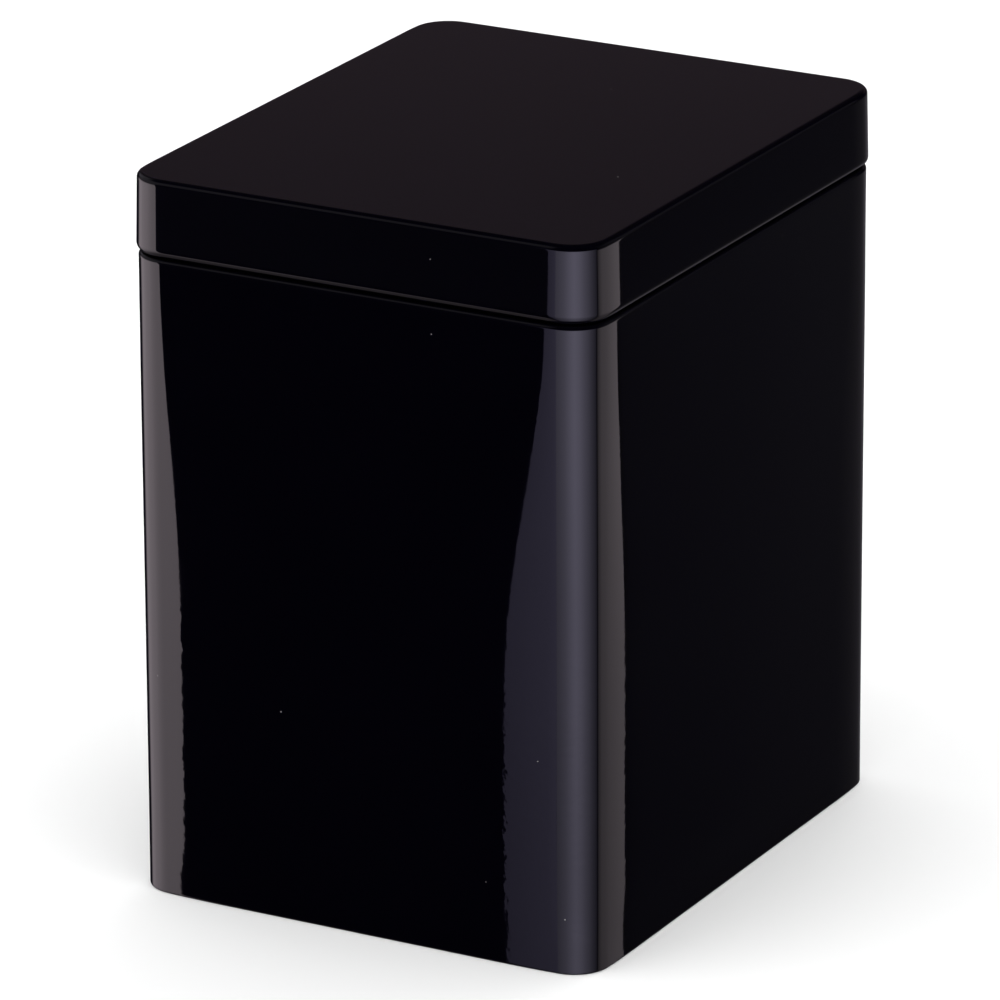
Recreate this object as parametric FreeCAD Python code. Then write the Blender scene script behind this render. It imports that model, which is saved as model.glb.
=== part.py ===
import FreeCAD, Part
import math
import os

# Tall rectangular slip-lid tin in lacquered tinplate: a folded body with a side seam, a base held
# in the body's bottom hem with a ring of seam compound, and a drawn lid that lifts straight off.
# Millimetres. X runs across the width, Y from the front to the back, Z up. The origin is the
# middle of the footprint, on the surface that the tin stands on.

# ---- driving dimensions
WIDTH = 90.0                # body, outside
DEPTH = 109.0               # body, outside
HEIGHT = 130.5              # from the bottom hem to the top of the lid
CORNER_RADIUS = 6.3         # upright corners of the body, outside
SHEET = 0.25                # tinplate
PLATE_CORNER_RADIUS = 1.3   # corners of the flat middle panels of the lid and the base

HEM_WIDTH = 1.0             # bottom hem, outside face to inside face
HEM_EDGE_RADIUS = 0.35      # rounding of the hem's two lower edges, outside
HEM_HEIGHT = 2.8            # top of the hem's inner leg

SKIRT_HEIGHT = 13.8         # lid, from its top to the bottom of its curl
LID_PROUD_TOP = 0.1         # how far the lid's skirt stands outside the body at its top
LID_PROUD_BOTTOM = 0.4      # the same at its curl
LID_EDGE_RADIUS = 1.0       # rounding of the lid's top edge, outside
LID_ROLL_RADIUS = 1.5       # outside; the skirt's lower edge turns in gently on this,
LID_ROLL_TURN = 60.0        # by this many degrees,
LID_CURL_RADIUS = 0.45      # then curls up tightly on this outside radius
LID_CURL_TURN = 210.0       # degrees
LID_GAP = 1.0               # from the start of the body's shoulder up to the lid's curl

NECK_INSET = 1.15           # how far the neck stands inside the body's outer face
NECK_CURL_RADIUS = 0.9      # outside radius of the rolled top edge
NECK_CLEARANCE = 0.1        # between the neck's curl and the underside of the closed lid
NECK_CURL_TURN = 290.0      # degrees

BASE_LEVEL = 3.0            # underside of the base's rim
BASE_SKIRT_BOTTOM = 0.8     # lower edge of the base's down-turned skirt
BASE_BEND_RADIUS = 0.6      # outside
BASE_RIM_WIDTH = 3.0        # from the body's outer face to the foot of the raised panel
BASE_PANEL_RISE = 0.8       # how far the stamped panel stands above the rim
BASE_PANEL_SLOPE = 45.0     # degrees
BASE_PANEL_BEND = 0.5       # middle-line radius of the stamped step

COMPOUND_GAP = 0.04         # between the seam compound and the sheets round it

SEAM_WIDTH = 4.0            # lock seam of the body, between its two folds
SEAM_GAP = 0.03             # between the seam's layers
SEAM_JOG_ANGLE = 60.0       # degrees, where the sheet steps in under the seam
SEAM_JOG_RADIUS = 0.3
SEAM_END_CLEARANCE = 0.6    # the seam stops this far from the shoulder and from the base

# ---- worked out from the driving dimensions
HALF_SHEET = SHEET / 2
LID_BOTTOM = HEIGHT - SKIRT_HEIGHT
SHOULDER_START = LID_BOTTOM - LID_GAP
SHOULDER_BEND = NECK_INSET / 2
NECK_CURL_LEVEL = HEIGHT - SHEET - NECK_CLEARANCE - NECK_CURL_RADIUS
STRAIGHT_X = WIDTH - 2 * CORNER_RADIUS
STRAIGHT_Y = DEPTH - 2 * CORNER_RADIUS
PLATE_INSET = CORNER_RADIUS - PLATE_CORNER_RADIUS

UP = FreeCAD.Vector(0, 0, 1)


# ---- bent sheet

class Strip:
    """The edge-on section of a bent sheet, drawn along its middle line in a plane."""

    def __init__(self, start, heading):
        self.point = start
        self.heading = math.radians(heading)
        self.left = []
        self.right = []
        self.caps = [self.sides()]

    def sides(self):
        """The two points of the sheet's faces beside the middle line's present end."""
        across = (-math.sin(self.heading) * HALF_SHEET, math.cos(self.heading) * HALF_SHEET)
        left = (self.point[0] + across[0], self.point[1] + across[1])
        right = (self.point[0] - across[0], self.point[1] - across[1])
        return left, right

    def line(self, length):
        before = self.sides()
        x = self.point[0] + math.cos(self.heading) * length
        y = self.point[1] + math.sin(self.heading) * length
        self.point = (x, y)
        after = self.sides()
        self.left.append((before[0], after[0]))
        self.right.append((before[1], after[1]))
        return self

    def bend(self, radius, angle):
        """Turn by an angle in degrees, left if positive, on a middle-line radius."""
        steps = 2 if abs(angle) > 180 else 1
        for _ in range(steps):
            self.bend_once(radius, math.radians(angle / steps))
        return self

    def bend_once(self, radius, angle):
        side = 1 if angle > 0 else -1
        centre = (
            self.point[0] - side * math.sin(self.heading) * radius,
            self.point[1] + side * math.cos(self.heading) * radius,
        )
        stations = []
        for share in (0.0, 0.5, 1.0):
            heading = self.heading + angle * share
            x = centre[0] + side * math.sin(heading) * radius
            y = centre[1] - side * math.cos(heading) * radius
            stations.append(((x, y), heading))
        faces = []
        for point, heading in stations:
            self.point = point
            self.heading = heading
            faces.append(self.sides())
        self.left.append(tuple(face[0] for face in faces))
        self.right.append(tuple(face[1] for face in faces))

    def face(self, place):
        """The section as a face; place turns a point of the plane into a vector."""
        self.caps.append(self.sides())
        start_cap, end_cap = self.caps
        runs = list(self.left)
        runs.append((end_cap[0], end_cap[1]))
        runs.extend(tuple(reversed(run)) for run in reversed(self.right))
        runs.append((start_cap[1], start_cap[0]))
        edges = []
        for run in runs:
            points = [place(point) for point in run]
            if len(points) == 3:
                edges.append(Part.Arc(*points).toShape())
            else:
                edges.append(Part.LineSegment(*points).toShape())
        return Part.Face(Part.Wire(edges))


def upright(point):
    """A section point (distance from the corner's axis, height) on the XZ plane."""
    return FreeCAD.Vector(point[0], 0, point[1])


def polygon_face(points):
    corners = [upright(point) for point in points]
    return Part.Face(Part.makePolygon(corners + [corners[0]]))


# ---- shapes that follow the rounded rectangle

def ring(section):
    """Carry an upright section once round the rounded rectangle of the tin."""
    pieces = []
    for quarter in range(4):
        side_x = 1 if quarter in (0, 3) else -1
        side_y = 1 if quarter in (0, 1) else -1
        axis = FreeCAD.Vector(side_x * STRAIGHT_X / 2, side_y * STRAIGHT_Y / 2, 0)
        start = section.copy()
        start.rotate(FreeCAD.Vector(0, 0, 0), UP, 90 * quarter)
        start.translate(axis)
        pieces.append(start.revolve(axis, UP, 90))
        angle = math.radians(90 * quarter)
        run = STRAIGHT_Y if quarter % 2 == 0 else STRAIGHT_X
        pieces.append(start.extrude(FreeCAD.Vector(math.sin(angle), -math.cos(angle), 0) * run))
    return pieces[0].multiFuse(pieces[1:])


def rounded_plate(inset, bottom, thickness):
    """A flat plate, inset from the body's outer face, with the tin's upright corners."""
    size_x = WIDTH - 2 * inset
    size_y = DEPTH - 2 * inset
    plate = Part.makeBox(size_x, size_y, thickness, FreeCAD.Vector(-size_x / 2, -size_y / 2, bottom))
    upright_edges = [edge for edge in plate.Edges if abs(edge.tangentAt(edge.FirstParameter).z) > 0.5]
    return plate.makeFillet(CORNER_RADIUS - inset, upright_edges)


def one_solid(shape):
    """The single solid of a fused shape, with the joins between its pieces cleaned away."""
    return shape.removeSplitter().Solids[0]


# ---- the pieces

def make_body_wall():
    """One sheet: bottom hem, wall, shoulder, neck and rolled top edge, closed by a lock seam."""
    hem_bend = HEM_EDGE_RADIUS - HALF_SHEET
    strip = Strip((CORNER_RADIUS - HEM_WIDTH + HALF_SHEET, HEM_HEIGHT), -90)
    strip.line(HEM_HEIGHT - HEM_EDGE_RADIUS)
    strip.bend(hem_bend, 90)
    strip.line(HEM_WIDTH - 2 * HEM_EDGE_RADIUS)
    strip.bend(hem_bend, 90)
    strip.line(SHOULDER_START - HEM_EDGE_RADIUS)
    strip.bend(SHOULDER_BEND, 90)
    strip.bend(SHOULDER_BEND, -90)
    strip.line(NECK_CURL_LEVEL - SHOULDER_START - NECK_INSET)
    strip.bend(NECK_CURL_RADIUS - HALF_SHEET, NECK_CURL_TURN)
    wall = ring(strip.face(upright))

    # The seam is upright, in the middle of the back wall, between the base and the shoulder. The
    # sheet's left end folds in under itself; its right end jogs in and folds out into that fold.
    layer = SHEET + SEAM_GAP
    fold_middle = SEAM_WIDTH / 2 - layer
    hook_length = 2 * fold_middle - SHEET
    jog_angle = math.radians(SEAM_JOG_ANGLE)
    jog_slope = (3 * layer - 2 * SEAM_JOG_RADIUS * (1 - math.cos(jog_angle))) / math.sin(jog_angle)
    jog_run = 2 * SEAM_JOG_RADIUS * math.sin(jog_angle) + jog_slope * math.cos(jog_angle)
    jog_start = SEAM_WIDTH / 2 + SHEET + jog_run
    left_end = -SEAM_WIDTH / 2 - SHEET
    right_end = jog_start + SHEET
    seam_bottom = BASE_LEVEL + SHEET + BASE_PANEL_RISE + SEAM_END_CLEARANCE
    seam_height = SHOULDER_START - SEAM_END_CLEARANCE - seam_bottom
    wall_middle = DEPTH / 2 - HALF_SHEET

    def on_plan(point):
        return FreeCAD.Vector(point[0], point[1], seam_bottom)

    outer_hook = Strip((left_end, wall_middle), 0)
    outer_hook.line(fold_middle - left_end)
    outer_hook.bend(layer, -180)
    outer_hook.line(hook_length)

    inner_hook = Strip((right_end, wall_middle), 180)
    inner_hook.line(right_end - jog_start)
    inner_hook.bend(SEAM_JOG_RADIUS, SEAM_JOG_ANGLE)
    inner_hook.line(jog_slope)
    inner_hook.bend(SEAM_JOG_RADIUS, -SEAM_JOG_ANGLE)
    inner_hook.line(jog_start - jog_run + fold_middle)
    inner_hook.bend(layer, -180)
    inner_hook.line(hook_length)

    slot_corner = FreeCAD.Vector(left_end, DEPTH / 2 - SHEET, seam_bottom)
    wall = wall.cut(Part.makeBox(right_end - left_end, SHEET, seam_height, slot_corner))
    hooks = [hook.face(on_plan).extrude(UP * seam_height) for hook in (outer_hook, inner_hook)]
    return one_solid(wall.multiFuse(hooks))


def make_base_panel():
    """Stamped base: raised middle panel, flat rim, and a skirt that goes down into the hem."""
    slope = math.radians(BASE_PANEL_SLOPE)
    slope_drop = BASE_PANEL_RISE - 2 * BASE_PANEL_BEND * (1 - math.cos(slope))
    slope_length = slope_drop / math.sin(slope)
    step_run = 2 * BASE_PANEL_BEND * math.sin(slope) + slope_length * math.cos(slope)
    step_foot = CORNER_RADIUS - BASE_RIM_WIDTH
    skirt_middle = CORNER_RADIUS - SHEET - SEAM_GAP - HALF_SHEET
    bend = BASE_BEND_RADIUS - HALF_SHEET
    panel_bottom = BASE_LEVEL + BASE_PANEL_RISE

    strip = Strip((PLATE_CORNER_RADIUS, panel_bottom + HALF_SHEET), 0)
    strip.line(step_foot - step_run - PLATE_CORNER_RADIUS)
    strip.bend(BASE_PANEL_BEND, -BASE_PANEL_SLOPE)
    strip.line(slope_length)
    strip.bend(BASE_PANEL_BEND, BASE_PANEL_SLOPE)
    strip.line(skirt_middle - bend - step_foot)
    strip.bend(bend, -90)
    strip.line(BASE_LEVEL + HALF_SHEET - bend - BASE_SKIRT_BOTTOM)
    middle = rounded_plate(PLATE_INSET, panel_bottom, SHEET)
    return one_solid(ring(strip.face(upright)).fuse(middle))


def make_seam_compound():
    """The lining that seals the base: it fills the hem below and behind the base's skirt."""
    hem_inside = CORNER_RADIUS - HEM_WIDTH + SHEET + COMPOUND_GAP
    skirt_inside = CORNER_RADIUS - 2 * SHEET - SEAM_GAP - COMPOUND_GAP
    wall_inside = CORNER_RADIUS - SHEET - COMPOUND_GAP
    bottom = SHEET + COMPOUND_GAP
    skirt_foot = BASE_SKIRT_BOTTOM - COMPOUND_GAP
    top = HEM_HEIGHT - SHEET
    section = polygon_face([
        (hem_inside, bottom),
        (wall_inside, bottom),
        (wall_inside, skirt_foot),
        (skirt_inside, skirt_foot),
        (skirt_inside, top),
        (hem_inside, top),
    ])
    return one_solid(ring(section))


def make_lid():
    """Drawn lid: flat top, small edge radius, slightly flared skirt, lower edge rolled inward."""
    edge_bend = LID_EDGE_RADIUS - HALF_SHEET
    bend_start = CORNER_RADIUS + LID_PROUD_TOP - LID_EDGE_RADIUS
    skirt_drop = SKIRT_HEIGHT - LID_EDGE_RADIUS - LID_ROLL_RADIUS
    flare = math.atan((LID_PROUD_BOTTOM - LID_PROUD_TOP) / skirt_drop)
    roll_end = math.radians(LID_ROLL_TURN) - flare
    roll_drop = LID_ROLL_RADIUS * (math.sin(roll_end) + math.sin(flare))
    curl_drop = LID_CURL_RADIUS * (1 - math.sin(roll_end))
    roll_level = LID_BOTTOM + roll_drop + curl_drop

    strip = Strip((PLATE_CORNER_RADIUS, HEIGHT - HALF_SHEET), 0)
    strip.line(bend_start - PLATE_CORNER_RADIUS)
    strip.bend(edge_bend, math.degrees(flare) - 90)
    strip.line((strip.point[1] - roll_level) / math.cos(flare))
    strip.bend(LID_ROLL_RADIUS - HALF_SHEET, -LID_ROLL_TURN)
    strip.bend(LID_CURL_RADIUS - HALF_SHEET, -LID_CURL_TURN)
    middle = rounded_plate(PLATE_INSET, HEIGHT - SHEET, SHEET)
    return one_solid(ring(strip.face(upright)).fuse(middle))


def main():
    os.makedirs("parts", exist_ok=True)
    pieces = {
        "body_wall": make_body_wall(),
        "base_panel": make_base_panel(),
        "seam_compound": make_seam_compound(),
        "lid": make_lid(),
    }
    for name, shape in pieces.items():
        shape.exportStep(f"parts/{name}.step")
        box = shape.BoundBox
        print(name, "valid" if shape.isValid() else "NOT VALID", f"{shape.Volume:.1f} mm3",
              f"{box.XLength:.2f} x {box.YLength:.2f} x {box.ZLength:.2f} mm")


main()
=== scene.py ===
import math

import bmesh
import bpy
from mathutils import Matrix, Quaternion, Vector


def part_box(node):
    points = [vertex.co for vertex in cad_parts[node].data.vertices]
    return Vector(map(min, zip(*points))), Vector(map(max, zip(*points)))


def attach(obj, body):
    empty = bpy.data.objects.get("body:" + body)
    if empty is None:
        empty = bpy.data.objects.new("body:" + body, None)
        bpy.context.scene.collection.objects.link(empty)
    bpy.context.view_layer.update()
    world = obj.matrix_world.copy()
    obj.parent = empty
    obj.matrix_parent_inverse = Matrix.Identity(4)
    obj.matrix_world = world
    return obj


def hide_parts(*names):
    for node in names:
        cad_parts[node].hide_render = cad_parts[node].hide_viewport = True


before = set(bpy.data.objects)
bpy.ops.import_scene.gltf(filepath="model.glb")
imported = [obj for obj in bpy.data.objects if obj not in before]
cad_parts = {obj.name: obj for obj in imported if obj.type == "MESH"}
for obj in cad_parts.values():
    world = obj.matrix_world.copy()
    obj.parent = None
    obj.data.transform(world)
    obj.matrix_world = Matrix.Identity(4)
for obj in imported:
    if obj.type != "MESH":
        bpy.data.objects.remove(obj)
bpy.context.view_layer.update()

# Glossy black slip-lid tin on a pale floor. Metres, in the CAD frame: X across the width, Y from
# the front to the back, Z up. Places come from the CAD boxes; the rest are the sheet's own sizes.

MM = 0.001

# ---- places from the frame
body_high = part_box("body_wall")[1]
lid_low, lid_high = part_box("lid")
base_low, base_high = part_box("base_panel")
lining_low, lining_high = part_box("seam_compound")
HALF_X, HALF_Y, NECK_TOP = body_high
TOP = lid_high.z
LID_BOTTOM = lid_low.z

# ---- sheet sizes
SHEET = 0.25 * MM
HALF_SHEET = SHEET / 2
CORNER_RADIUS = 6.3 * MM
PLATE_CORNER_RADIUS = 1.3 * MM
HEM_WIDTH = 1.0 * MM
HEM_EDGE_RADIUS = 0.35 * MM
HEM_HEIGHT = 2.8 * MM
NECK_INSET = 1.15 * MM
NECK_CURL_RADIUS = 0.9 * MM
NECK_CURL_TURN = 290
SHOULDER_START = LID_BOTTOM - 1.0 * MM
LID_PROUD_TOP = 0.1 * MM
LID_PROUD_BOTTOM = lid_high.x - HALF_X
LID_EDGE_RADIUS = 1.0 * MM
LID_ROLL_RADIUS = 1.5 * MM            # the skirt's lower edge turns in gently,
LID_ROLL_TURN = 60                    # then curls up tightly
LID_CURL_RADIUS = 0.45 * MM
LID_CURL_TURN = 210
BASE_RIM_WIDTH = 3.0 * MM
BASE_PANEL_RISE = 0.8 * MM
BASE_BEND_RADIUS = 0.6 * MM
BASE_PANEL_BEND = 0.5 * MM
BASE_PANEL_SLOPE = 45
LINING_GAP = 0.04 * MM                # between the sealing ring and the sheets round it
LINING_INSET = 0.57 * MM              # from the body's outside to the ring, behind the base's skirt

# ---- lock seam in the back wall: places across it, and how far its face stands back, in mm
SEAM_GROOVE = (
    (1.70, 0.0), (1.88, 0.012), (2.00, 0.05), (2.08, 0.12), (2.12, 0.25), (2.14, 0.62),
    (2.34, 0.62), (2.50, 0.50), (2.68, 0.28), (2.86, 0.10), (3.02, 0.025), (3.20, 0.0),
)
SEAM_RIDGE = (-2.28, 3.05, 0.84)      # from, to and height, inside the tin, in mm
SEAM_RIDGE_EDGE = 0.18
SEAM_BOTTOM = 4.65 * MM
SEAM_TOP = SHOULDER_START - 0.6 * MM
SEAM_END = 0.25 * MM                  # over this height the seam fades into the plain wall

# ---- how the thin walls bow: each is flat in its middle and turns slightly towards its corners
BOW_SLOPE = 0.08                      # radians a wall has turned where its corner begins
# how far from its corners a wall starts to turn: the front and back, then the sides
BODY_REACH_TOP = (3.2 * MM, 5.5 * MM)
BODY_REACH_LOW = (16 * MM, 10.6 * MM)
BODY_REACH_GROWTH = 64 * MM           # the height over which the reach grows
LID_REACH = (1.8 * MM, 5.5 * MM)
HEM_BOW = 0.85                        # the share of the bow that the stiff hem leaves,
HEM_STIFFENED = (2.5 * MM, 12 * MM)   # rising to all of it between these heights

# ---- how finely the meshes are divided
CORNER_STEPS = 24
BEND_STEP = 9                         # degrees
SHARP_ANGLE = 35                      # degrees, where shading breaks
WALL_STEPS = 36                       # up the body's walls
SKIRT_STEPS = 10                      # up the lid's skirt
NEAR_CORNER = (                       # mm from a corner, closer together near it
    0.2, 0.5, 0.9, 1.4, 2.0, 2.8, 3.6, 4.5, 5.5, 6.6, 7.8, 9.0, 10.5, 12.0, 14.0, 16.0,
    19.0, 24.0, 30.0,
)
SEAM_MARGIN = 0.3 * MM                # kept free of other places on both sides of the seam
PLATE_RINGS = (0.93, 0.8, 0.62, 0.42, 0.22, 0.06)   # shares of the way out from the middle


# ---- sections of bent sheet

class Strip:
    """Both faces of a bent sheet's section, followed along its middle line."""

    def __init__(self, start, heading):
        self.x, self.z = start
        self.heading = math.radians(heading)
        self.left = []
        self.right = []
        self.mark()

    def mark(self):
        across_x = -math.sin(self.heading) * HALF_SHEET
        across_z = math.cos(self.heading) * HALF_SHEET
        self.left.append((self.x + across_x, self.z + across_z))
        self.right.append((self.x - across_x, self.z - across_z))

    def line(self, length, stops=(1.0,)):
        """Go straight on, with points at these shares of the length."""
        start_x, start_z = self.x, self.z
        for share in stops:
            self.x = start_x + math.cos(self.heading) * length * share
            self.z = start_z + math.sin(self.heading) * length * share
            self.mark()

    def bend(self, radius, angle):
        side = 1 if angle > 0 else -1
        steps = max(2, round(abs(angle) / BEND_STEP))
        turn = math.radians(angle) / steps
        chord = 2 * radius * math.sin(abs(turn) / 2)
        for _ in range(steps):
            self.x += math.cos(self.heading + turn / 2) * chord
            self.z += math.sin(self.heading + turn / 2) * chord
            self.heading += turn
            self.mark()


class Section:
    """A solid section, given as its outer and its inner face from one end to the other."""

    def __init__(self, outer, inner):
        self.left = outer
        self.right = inner


def eased(count, first):
    """Shares from 0 to 1 that lie close together at both ends; first is the first share."""
    inner = [first + (1 - 2 * first) * (0.5 - 0.5 * math.cos(math.pi * i / count))
             for i in range(count + 1)]
    return inner + [1.0]


# ---- the rounded rectangle that every section is carried round

class Station:
    """One upright slice of a side, or of a corner between two sides.

    side counts back, left, front, right. A corner has the same number as the side after it.
    """

    def __init__(self, side, axis, direction, along=0.0, to_corner=None, turn=None):
        self.side = side
        self.axis = axis
        self.direction = direction
        self.along = along
        self.to_corner = to_corner
        self.turn = turn

    def place(self, distance):
        return self.axis + self.direction * distance


def side_places(straight, extra):
    """Distances along a side from its middle: closer near its corners, plus extra places."""
    half = straight / 2
    places = {0.0}
    for distance in NEAR_CORNER:
        places.add(half - distance * MM)
        places.add(distance * MM - half)
    if extra:
        first, last = extra[0] - SEAM_MARGIN, extra[-1] + SEAM_MARGIN
        places = {place for place in places if not first < place < last}
        places.update(extra)
    return sorted(places)


def stations(back_extra=()):
    half_x = HALF_X - CORNER_RADIUS
    half_y = HALF_Y - CORNER_RADIUS
    corners = [(half_x, half_y), (-half_x, half_y), (-half_x, -half_y), (half_x, -half_y)]
    found = []
    for side, (x, y) in enumerate(corners):
        axis = Vector((x, y, 0))
        for step in range(CORNER_STEPS + 1):
            turn = math.radians(90 * step / CORNER_STEPS)
            angle = math.radians(90 * side) + turn
            direction = Vector((math.cos(angle), math.sin(angle), 0))
            found.append(Station(side, axis, direction, turn=turn))
        outward = found[-1].direction
        onward = Vector((-outward.y, outward.x, 0))
        straight = 2 * (half_x if side % 2 == 0 else half_y)
        extra = back_extra if side == 0 else ()
        for along in side_places(straight, extra):
            start = axis + onward * (straight / 2 + along)
            found.append(Station(side, start, outward, along, straight / 2 - abs(along)))
    return found


class Bow:
    """A bowed outline: flat sides that turn by slope before corners which bend by the rest."""

    def __init__(self, slope, reaches):
        self.slope = slope
        self.reaches = reaches
        self.bulge = slope * min(self.reaches) / 3

    def pull(self, side, to_corner):
        """How far in a side has come at a distance from its corner."""
        reach = self.reaches[side % 2]
        left = max(0.0, 1 - to_corner / reach)
        return self.slope * reach / 3 * left ** 3 - self.bulge

    def shift(self, station):
        if station.turn is None:
            return station.direction * -self.pull(station.side, station.to_corner)
        side = math.radians(90 * station.side)
        first = Vector((math.cos(side), math.sin(side), 0))
        second = Vector((-first.y, first.x, 0))
        pulls = (self.pull(station.side - 1, 0.0), self.pull(station.side, 0.0))
        mean = sum(pulls) / 2
        radius = (CORNER_RADIUS - mean) / (math.cos(self.slope) - math.sin(self.slope))
        centre = -radius * math.sin(self.slope)
        angle = self.slope + station.turn * (1 - 4 * self.slope / math.pi)
        across = centre + radius * math.cos(angle) + (mean - pulls[0]) * math.cos(station.turn) ** 2
        beyond = centre + radius * math.sin(angle) + (mean - pulls[1]) * math.sin(station.turn) ** 2
        return first * across + second * beyond - station.direction * CORNER_RADIUS


def body_bow(height):
    """The body's bow at one height: wider lower down, and held a little by the hem."""
    growth = smooth(SHOULDER_START - height, 0.0, BODY_REACH_GROWTH)
    reaches = [top + (low - top) * growth for top, low in zip(BODY_REACH_TOP, BODY_REACH_LOW)]
    held = HEM_BOW + (1 - HEM_BOW) * smooth(height, *HEM_STIFFENED)
    return Bow(BOW_SLOPE * held, reaches)


def smooth(value, start, end):
    share = min(1.0, max(0.0, (value - start) / (end - start)))
    return share * share * (3 - 2 * share)


def between(table, place):
    """A table's second value at a place: straight between its points, and 0 outside them."""
    for (x0, y0), (x1, y1) in zip(table, table[1:]):
        if x0 <= place <= x1:
            return y0 + (y1 - y0) * (place - x0) / (x1 - x0)
    return 0.0


# ---- turning sections into meshes

def sheet_piece(name, strip, ring, materials, skin_slots, has_plate, bow_at, dent=None):
    """A closed mesh: both faces of a strip or section carried round the ring, and its cut edges.

    skin_slots are the material numbers of the left face, the right face and the cut edge.
    With a plate, the section's first row goes on to the middle of the tin as a flat panel.
    bow_at gives the bow at a height, and dent how far a place on either face is pushed in.
    """
    left_slot, right_slot, edge_slot = skin_slots
    rows = [(point, left_slot) for point in strip.left]
    rows += [(point, right_slot) for point in reversed(strip.right)]
    turn_back = len(strip.left) - 1
    mesh = bmesh.new()
    loops = []
    for index, ((distance, height), _slot) in enumerate(rows):
        bow = bow_at(height)
        loop = []
        for station in ring:
            pushed = dent(station, height, index <= turn_back) if dent else 0.0
            spot = station.place(distance - pushed) + bow.shift(station)
            loop.append(mesh.verts.new((spot.x, spot.y, height)))
        loops.append(loop)

    def join(first, second, slot):
        count = len(first)
        for i in range(count):
            j = (i + 1) % count
            face = mesh.faces.new((first[i], first[j], second[j], second[i]))
            face.material_index = slot

    for index in range(len(rows) - 1):
        slot = edge_slot if index == turn_back else rows[index + 1][1]
        join(loops[index], loops[index + 1], slot)
    if has_plate:
        for loop, slot in ((loops[0], left_slot), (loops[-1], right_slot)):
            outer = loop
            for share in PLATE_RINGS:
                inner = [mesh.verts.new((v.co.x * share, v.co.y * share, v.co.z)) for v in loop]
                join(outer, inner, slot)
                outer = inner
            cap = mesh.faces.new(outer)
            cap.material_index = slot
    else:
        join(loops[-1], loops[0], edge_slot)
    bmesh.ops.recalc_face_normals(mesh, faces=mesh.faces)
    data = bpy.data.meshes.new(name)
    mesh.to_mesh(data)
    mesh.free()
    for material in materials:
        data.materials.append(material)
    data.shade_smooth()
    data.set_sharp_from_angle(angle=math.radians(SHARP_ANGLE))
    piece = bpy.data.objects.new(name, data)
    bpy.context.scene.collection.objects.link(piece)
    return piece


# ---- materials

# sockets of a colour mix node, which has others of the same names
MIX_FIRST, MIX_SECOND, MIX_RESULT = 6, 7, 2


class Nodes:
    """Short ways to add nodes to one material's tree."""

    def __init__(self, name):
        self.material = bpy.data.materials.new(name)
        self.material.use_nodes = True
        self.tree = self.material.node_tree
        self.tree.nodes.clear()
        self.output = self.tree.nodes.new("ShaderNodeOutputMaterial")
        self.place = self.tree.nodes.new("ShaderNodeTexCoord").outputs["Object"]

    def node(self, kind, settings=None, **inputs):
        made = self.tree.nodes.new(kind)
        for key, value in (settings or {}).items():
            setattr(made, key, value)
        for key, value in inputs.items():
            self.feed(made.inputs[key.replace("_", " ")], value)
        return made

    def feed(self, socket, value):
        if isinstance(value, bpy.types.NodeSocket):
            self.tree.links.new(value, socket)
        else:
            socket.default_value = value

    def noise(self, scale, detail=2.0, roughness=0.5, stretch=None):
        place = self.place
        if stretch:
            mapping = self.node("ShaderNodeMapping", Vector=place, Scale=stretch)
            place = mapping.outputs["Vector"]
        made = self.node("ShaderNodeTexNoise", Vector=place, Scale=scale, Detail=detail,
                         Roughness=roughness)
        return made.outputs["Fac"]

    def span(self, value, low, high, start=0.0, end=1.0):
        """The value, taken from start...end to low...high."""
        made = self.node("ShaderNodeMapRange", Value=value)
        made.inputs["From Min"].default_value = start
        made.inputs["From Max"].default_value = end
        made.inputs["To Min"].default_value = low
        made.inputs["To Max"].default_value = high
        return made.outputs["Result"]

    def mix(self, share, first, second):
        made = self.node("ShaderNodeMix", {"data_type": "RGBA"})
        self.feed(made.inputs["Factor"], share)
        self.feed(made.inputs[MIX_FIRST], first)
        self.feed(made.inputs[MIX_SECOND], second)
        return made.outputs[MIX_RESULT]

    def math(self, operation, first, second):
        made = self.node("ShaderNodeMath", {"operation": operation})
        self.feed(made.inputs[0], first)
        self.feed(made.inputs[1], second)
        return made.outputs[0]

    def bump(self, height, distance, normal=None):
        made = self.node("ShaderNodeBump", Height=height, Distance=distance, Strength=1.0)
        if normal is not None:
            self.feed(made.inputs["Normal"], normal)
        return made.outputs["Normal"]

    def surface(self, **inputs):
        shader = self.node("ShaderNodeBsdfPrincipled", **inputs)
        self.tree.links.new(shader.outputs[0], self.output.inputs["Surface"])
        return shader


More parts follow.
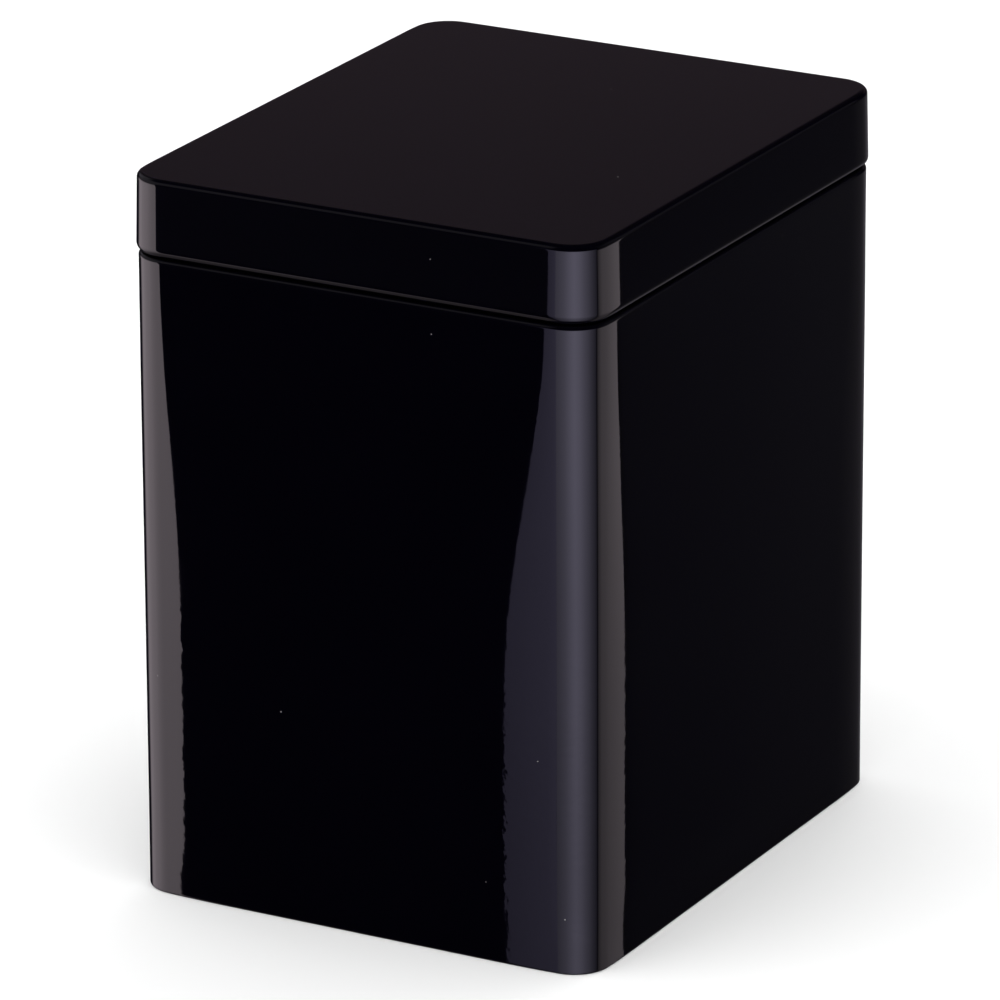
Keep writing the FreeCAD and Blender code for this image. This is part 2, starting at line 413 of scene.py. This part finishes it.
def black_lacquer():
    """Stoved gloss lacquer: near black, faint orange peel, soft haze, and a few specks of dust."""
    speck_size, speck_share, speck_rough = 0.05, 0.025, 0.6
    smoothest, roughest = 0.012, 0.035
    peel_low, peel_high = 0.045, 0.065        # the peel is strong below and faint above these
    wave_depth, peel_depth = 9e-6, 4e-6

    make = Nodes("black_lacquer")
    cloud = make.noise(38, 3.0)
    tint = make.mix(cloud, (0.0002, 0.0001, 0.0008, 1), (0.0005, 0.0004, 0.0014, 1))
    cells = make.node("ShaderNodeTexVoronoi", Vector=make.place, Scale=400.0)
    near = make.math("LESS_THAN", cells.outputs["Distance"], speck_size)
    picked = make.node("ShaderNodeSeparateColor", Color=cells.outputs["Color"])
    few = make.math("GREATER_THAN", picked.outputs[0], 1 - speck_share)
    speck = make.math("MULTIPLY", near, few)
    colour = make.mix(speck, tint, (0.2, 0.19, 0.19, 1))
    haze = make.span(make.noise(55, 4.0), smoothest, roughest, 0.3, 0.7)
    rough = make.math("MAXIMUM", haze, make.math("MULTIPLY", speck, speck_rough))
    height = make.node("ShaderNodeSeparateXYZ", Vector=make.place).outputs["Z"]
    strength = make.span(height, 1.0, 0.25, peel_low, peel_high)
    wave = make.bump(make.noise(52, 1.0), wave_depth)
    peel = make.bump(make.math("MULTIPLY", make.noise(560, 2.0), strength), peel_depth, wave)
    make.surface(Base_Color=colour, Roughness=rough, Normal=peel, IOR=1.5)
    return make.material


def satin_lacquer():
    """The base's thinner black lacquer: satin, slightly uneven."""
    make = Nodes("satin_lacquer")
    cloud = make.noise(60, 3.0)
    colour = make.mix(cloud, (0.003, 0.003, 0.004, 1), (0.006, 0.0055, 0.0075, 1))
    rough = make.span(cloud, 0.24, 0.36, 0.3, 0.7)
    make.surface(Base_Color=colour, Roughness=rough, Normal=make.bump(make.noise(300, 3.0), 6e-6))
    return make.material


def tinplate():
    """Bare tinned steel under clear lacquer: fine streaks along the rolling direction."""
    make = Nodes("tinplate")
    streak = make.noise(260, 4.0, 0.6, (1, 1, 0.03))
    cloud = make.noise(30, 3.0)
    colour = make.mix(cloud, (0.56, 0.55, 0.53, 1), (0.66, 0.65, 0.62, 1))
    rough = make.span(streak, 0.22, 0.38, 0.3, 0.7)
    grain = make.bump(streak, 2e-6)
    make.surface(Base_Color=colour, Metallic=0.35, Roughness=rough, Normal=grain)
    return make.material


def seam_lining():
    """Cured sealing compound: grey, matte and slightly uneven."""
    make = Nodes("seam_lining")
    grain = make.noise(900, 3.0)
    colour = make.mix(grain, (0.13, 0.125, 0.12, 1), (0.22, 0.21, 0.20, 1))
    rough = make.span(grain, 0.6, 0.8)
    make.surface(Base_Color=colour, Roughness=rough, Normal=make.bump(grain, 2e-5))
    return make.material


def pale_floor():
    make = Nodes("pale_floor")
    grain = make.noise(6, 3.0)
    colour = make.mix(grain, (0.86, 0.86, 0.86, 1), (0.88, 0.88, 0.88, 1))
    make.surface(Base_Color=colour, Roughness=0.9)
    return make.material


# ---- the tin's pieces

def make_body(lacquer, steel):
    strip = Strip((CORNER_RADIUS - HEM_WIDTH + HALF_SHEET, HEM_HEIGHT), -90)
    hem_bend = HEM_EDGE_RADIUS - HALF_SHEET
    strip.line(HEM_HEIGHT - HEM_EDGE_RADIUS, (0.5, 0.95, 1.0))
    strip.bend(hem_bend, 90)
    strip.line(HEM_WIDTH - 2 * HEM_EDGE_RADIUS, (0.3, 0.7, 1.0))
    strip.bend(hem_bend, 90)
    wall_start = strip.z
    wall_length = SHOULDER_START - wall_start
    stops = set(eased(WALL_STEPS, 0.001))
    for level in (SEAM_BOTTOM, SEAM_TOP):
        for offset in (-SEAM_END / 2, SEAM_END / 2):
            stops.add((level + offset - wall_start) / wall_length)
    strip.line(wall_length, sorted(stops))
    strip.bend(NECK_INSET / 2, 90)
    strip.bend(NECK_INSET / 2, -90)
    curl_level = NECK_TOP - NECK_CURL_RADIUS
    strip.line(curl_level - strip.z, (0.02, 0.5, 0.98, 1.0))
    strip.bend(NECK_CURL_RADIUS - HALF_SHEET, NECK_CURL_TURN)

    ridge_from, ridge_to, ridge_height = SEAM_RIDGE
    ridge = (
        (ridge_from - SEAM_RIDGE_EDGE, 0.0), (ridge_from, 0.75 * ridge_height),
        (ridge_from + SEAM_RIDGE_EDGE, ridge_height),
        (ridge_to - 2 * SEAM_RIDGE_EDGE, ridge_height),
        (ridge_to, 0.25 * ridge_height), (ridge_to + SEAM_RIDGE_EDGE, 0.0),
    )
    seam_places = sorted({-x * MM for x, _ in SEAM_GROOVE + ridge})

    def dent(station, height, inside):
        if station.side or station.turn is not None or not SEAM_BOTTOM < height < SEAM_TOP:
            return 0.0
        return MM * between(ridge if inside else SEAM_GROOVE, -station.along / MM)

    piece = sheet_piece("tin_body", strip, stations(seam_places), (lacquer, steel), (1, 0, 1),
                        False, body_bow, dent)
    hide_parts("body_wall")
    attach(piece, "tin")


def make_base(lacquer, steel):
    slope = math.radians(BASE_PANEL_SLOPE)
    slope_drop = BASE_PANEL_RISE - 2 * BASE_PANEL_BEND * (1 - math.cos(slope))
    slope_length = slope_drop / math.sin(slope)
    step_run = 2 * BASE_PANEL_BEND * math.sin(slope) + slope_length * math.cos(slope)
    step_foot = CORNER_RADIUS - BASE_RIM_WIDTH
    bend = BASE_BEND_RADIUS - HALF_SHEET
    skirt_middle = base_high.x - HALF_X + CORNER_RADIUS - HALF_SHEET

    strip = Strip((PLATE_CORNER_RADIUS, base_high.z - HALF_SHEET), 0)
    strip.line(step_foot - step_run - PLATE_CORNER_RADIUS, (0.5, 1.0))
    strip.bend(BASE_PANEL_BEND, -BASE_PANEL_SLOPE)
    strip.line(slope_length)
    strip.bend(BASE_PANEL_BEND, BASE_PANEL_SLOPE)
    strip.line(skirt_middle - bend - step_foot, (0.1, 0.9, 1.0))
    strip.bend(bend, -90)
    strip.line(strip.z - base_low.z, (0.1, 1.0))
    piece = sheet_piece("tin_base", strip, stations(), (lacquer, steel), (1, 0, 1), True, body_bow)
    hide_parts("base_panel")
    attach(piece, "tin")


def make_lining(lining):
    """The ring of sealing compound in the hem, below and behind the base's skirt."""
    wall_side = CORNER_RADIUS - SHEET - LINING_GAP
    skirt_side = CORNER_RADIUS - LINING_INSET
    hem_side = CORNER_RADIUS - HEM_WIDTH + SHEET + LINING_GAP
    bottom = lining_low.z
    skirt_foot = base_low.z - LINING_GAP
    top = lining_high.z
    outer = [
        (wall_side, bottom), (wall_side, skirt_foot),
        (skirt_side, skirt_foot), (skirt_side, top),
    ]
    inner = [(hem_side, bottom), (hem_side, top)]
    piece = sheet_piece("tin_lining", Section(outer, inner), stations(), (lining,), (0, 0, 0),
                        False, body_bow)
    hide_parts("seam_compound")
    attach(piece, "tin")


def make_lid(lacquer, steel):
    edge_bend = LID_EDGE_RADIUS - HALF_SHEET
    bend_start = CORNER_RADIUS + LID_PROUD_TOP - LID_EDGE_RADIUS
    skirt_height = TOP - LID_BOTTOM
    flare = math.atan((LID_PROUD_BOTTOM - LID_PROUD_TOP) / (skirt_height - LID_EDGE_RADIUS))
    roll = math.radians(LID_ROLL_TURN)
    roll_drop = LID_ROLL_RADIUS * (math.sin(roll - flare) + math.sin(flare))
    curl_drop = LID_CURL_RADIUS * (1 - math.sin(roll - flare))
    roll_level = LID_BOTTOM + roll_drop + curl_drop

    strip = Strip((PLATE_CORNER_RADIUS, TOP - HALF_SHEET), 0)
    strip.line(bend_start - PLATE_CORNER_RADIUS, (0.3, 0.6, 0.85, 0.97, 1.0))
    strip.bend(edge_bend, math.degrees(flare) - 90)
    strip.line((strip.z - roll_level) / math.cos(flare), eased(SKIRT_STEPS, 0.02))
    strip.bend(LID_ROLL_RADIUS - HALF_SHEET, -LID_ROLL_TURN)
    strip.bend(LID_CURL_RADIUS - HALF_SHEET, -LID_CURL_TURN)

    lid_bow = Bow(BOW_SLOPE, LID_REACH)
    piece = sheet_piece("tin_lid", strip, stations(), (lacquer, steel), (0, 1, 1), True,
                        lambda height: lid_bow)
    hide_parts("lid")
    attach(piece, "lid")


# ---- the studio

def glow_material(name, colour):
    """Light of one colour, as strong as the mesh's own 'glow' values."""
    material = bpy.data.materials.new(name)
    material.use_nodes = True
    tree = material.node_tree
    tree.nodes.clear()
    glow = tree.nodes.new("ShaderNodeAttribute")
    glow.attribute_name = "glow"
    emission = tree.nodes.new("ShaderNodeEmission")
    emission.inputs["Color"].default_value = (*colour, 1)
    output = tree.nodes.new("ShaderNodeOutputMaterial")
    tree.links.new(glow.outputs["Fac"], emission.inputs["Strength"])
    tree.links.new(emission.outputs[0], output.inputs["Surface"])
    return material


SKY_RADIUS = 20.0
GRID_ACROSS = 60                      # faces of a light wall
GRID_UP = 24
FLOOR_SIZE = 12.0
FLOOR_DROP = 0.02 * MM                # keeps the floor clear of the hem
LAMP_SIZE = 1.4
LAMPS = (                             # name, place and watts: they light only matte surfaces
    ("key", (-0.7, -0.9, 1.6), 10.0),
    ("fill", (0.9, -0.5, 1.5), 7.5),
    ("back", (0.1, 1.1, 1.5), 7.0),
)


def light_wall(name, colour, across, up):
    """A far, curved softbox that only mirror reflections see.

    across and up are tables of brightness, against azimuth (0 is the front, 90 is +X) and against
    elevation, both in degrees. They also give the wall's limits.
    """
    columns, rows = [], []
    for count, table, found in ((GRID_ACROSS, across, columns), (GRID_UP, up, rows)):
        first, last = table[0][0], table[-1][0]
        found += [first + (last - first) * i / count for i in range(count + 1)]
    vertices, values = [], []
    for elevation in rows:
        level = math.radians(elevation)
        for azimuth in columns:
            angle = math.radians(azimuth)
            direction = Vector((math.sin(angle) * math.cos(level),
                                -math.cos(angle) * math.cos(level), math.sin(level)))
            vertices.append(direction * SKY_RADIUS)
            values.append(between(across, azimuth) * between(up, elevation))
    faces = []
    for row in range(GRID_UP):
        for column in range(GRID_ACROSS):
            corner = row * (GRID_ACROSS + 1) + column
            faces.append((corner, corner + 1, corner + GRID_ACROSS + 2, corner + GRID_ACROSS + 1))
    mesh = bpy.data.meshes.new(name)
    mesh.from_pydata(vertices, [], faces)
    attribute = mesh.attributes.new("glow", "FLOAT", "POINT")
    attribute.data.foreach_set("value", values)
    mesh.materials.append(glow_material(name, colour))
    wall = bpy.data.objects.new(name, mesh)
    bpy.context.scene.collection.objects.link(wall)
    wall.visible_camera = False
    wall.visible_diffuse = False
    wall.visible_shadow = False


# name, colour, then brightness against azimuth and against elevation
LIGHT_WALLS = (
    ("left_wall", (1.0, 0.87, 0.95),
     ((-111, 0.2), (-104, 1.0), (-98, 1.4), (-64, 2.1), (-36.2, 1.85)),
     ((-64, 0.1), (-50, 0.13), (-40, 0.3), (-30, 0.7), (-22, 0.85), (-18, 1.0), (-5, 1.0), (3, 0.3),
      (10, 0.0))),
    ("upper_left_wall", (0.95, 0.90, 1.0),
     ((-134, 0.1), (-120, 0.3), (-53, 0.32), (-36, 0.26), (-29, 0.16), (-22, 0.0)),
     ((10, 0.4), (16, 0.9), (40, 0.8), (55, 0.0))),
    ("right_wall", (1.0, 0.88, 0.95),
     ((100, 0.25), (106, 0.6), (116, 0.82), (143, 0.62), (150.2, 0.72)),
     ((-64, 0.2), (-45, 0.35), (-30, 0.5), (-22, 0.62), (-18.5, 1.0), (-14.5, 1.0), (-12.5, 0.0))),
    ("front_edge_wall", (0.70, 0.64, 1.0),
     ((-27.1, 0.52), (-24, 0.62), (-21, 0.70), (-19.05, 0.84)),
     ((-64, 0.3), (-48, 0.6), (-30, 0.72), (-22, 0.8), (-20.2, 0.95), (-18.9, 1.1), (-8, 1.05))),
    ("front_wall", (0.79, 0.74, 1.0),
     ((-19, 0.88), (4, 1.38), (24, 2.1), (33, 2.3), (47, 2.0),
      (60, 1.45), (72, 1.05), (80, 0.75), (90, 0.45), (98, 0.2)),
     ((-64, 0.3), (-48, 0.6), (-30, 0.72), (-22, 0.77), (-20.2, 0.96), (-18.9, 1.15), (-8, 1.05))),
    ("upper_right_wall", (0.95, 0.88, 1.0),
     ((100, 0.03), (120, 0.06), (151, 0.06)),
     ((-12.5, 0.3), (-5, 1.0), (20, 1.0), (40, 0.0))),
    ("front_haze_wall", (0.80, 0.75, 1.0),
     ((-36.1, 0.06), (-33, 0.035), (-27.2, 0.025)),
     ((-17.3, 0.0), (-16.5, 1.0), (-8, 1.0))),
    ("back_wall", (0.95, 0.88, 1.0),
     ((150.4, 0.02), (152.5, 0.03), (154.5, 0.055), (158, 0.07), (171, 0.2), (200, 0.2),
      (225, 0.0)),
     ((-60, 0.3), (-30, 1.0), (-22, 0.6), (-17, 1.0), (-12, 0.6), (-6, 0.0))),
    ("top_wall", (1.0, 0.77, 0.91),
     ((165, 0.8), (205, 1.0), (224, 1.0)),
     ((5, 0.02), (12, 0.09), (16.5, 0.086), (17.8, 0.052), (24, 0.03), (32, 0.012), (80, 0.012))),
)


def make_studio():
    for name, colour, across, up in LIGHT_WALLS:
        light_wall(name, colour, across, up)

    bpy.ops.mesh.primitive_plane_add(size=FLOOR_SIZE, location=(0, 0, -FLOOR_DROP))
    floor = bpy.context.object
    floor.name = "floor"
    floor.data.materials.append(pale_floor())
    floor.visible_glossy = False

    for name, spot, power in LAMPS:
        light = bpy.data.lights.new(name, "AREA")
        light.size = LAMP_SIZE
        light.energy = power
        lamp = bpy.data.objects.new(name, light)
        lamp.location = spot
        lamp.rotation_euler = (-Vector(spot)).to_track_quat("-Z", "Y").to_euler()
        lamp.visible_glossy = False
        bpy.context.scene.collection.objects.link(lamp)


def make_world():
    """White behind the floor for the camera, soft fill for matte surfaces, dark for reflections."""
    world = bpy.data.worlds.new("studio")
    bpy.context.scene.world = world
    world.use_nodes = True
    tree = world.node_tree
    tree.nodes.clear()
    path = tree.nodes.new("ShaderNodeLightPath")
    output = tree.nodes.new("ShaderNodeOutputWorld")
    white = (1, 1, 1)
    for_matte = (white, 1.05)
    for_reflections = ((0.6, 0.5, 1.0), 0.012)
    for_camera = (white, 0.93)
    shades = []
    for colour, strength in (for_matte, for_reflections, for_camera):
        background = tree.nodes.new("ShaderNodeBackground")
        background.inputs["Color"].default_value = (*colour, 1)
        background.inputs["Strength"].default_value = strength
        shades.append(background.outputs[0])
    shown = shades[0]
    for ray, shade in (("Is Glossy Ray", shades[1]), ("Is Camera Ray", shades[2])):
        mix = tree.nodes.new("ShaderNodeMixShader")
        tree.links.new(path.outputs[ray], mix.inputs[0])
        tree.links.new(shown, mix.inputs[1])
        tree.links.new(shade, mix.inputs[2])
        shown = mix.outputs[0]
    tree.links.new(shown, output.inputs["Surface"])


# ---- the camera, at the photograph's viewing angle
VIEW_AZIMUTH = 28.58                  # degrees to the right of straight in front
VIEW_ELEVATION = 19.55
VIEW_ROLL = -0.24
VIEW_DISTANCE = 1.4674
AIM_HEIGHT = 0.0623
AIM_SIDE = -0.0016                    # to the right, in the picture
LENS = 301.0                          # mm, on a 36 mm sensor


def make_camera():
    azimuth, elevation = math.radians(VIEW_AZIMUTH), math.radians(VIEW_ELEVATION)
    back = Vector((math.sin(azimuth) * math.cos(elevation),
                   -math.cos(azimuth) * math.cos(elevation), math.sin(elevation)))
    right = Vector((math.cos(azimuth), math.sin(azimuth), 0))
    data = bpy.data.cameras.new("camera")
    data.lens = LENS
    data.sensor_width = 36.0
    data.clip_start = 0.05
    data.clip_end = 50.0
    camera = bpy.data.objects.new("camera", data)
    bpy.context.scene.collection.objects.link(camera)
    camera.location = Vector((0, 0, AIM_HEIGHT)) + right * AIM_SIDE + back * VIEW_DISTANCE
    turn = back.to_track_quat("Z", "Y")
    camera.rotation_mode = "QUATERNION"
    camera.rotation_quaternion = turn @ Quaternion((0, 0, 1), math.radians(VIEW_ROLL))
    bpy.context.scene.camera = camera


bpy.context.scene.view_settings.view_transform = "Standard"
lacquer = black_lacquer()
steel = tinplate()
make_body(lacquer, steel)
make_base(satin_lacquer(), steel)
make_lid(lacquer, steel)
make_lining(seam_lining())
make_studio()
make_world()
make_camera()
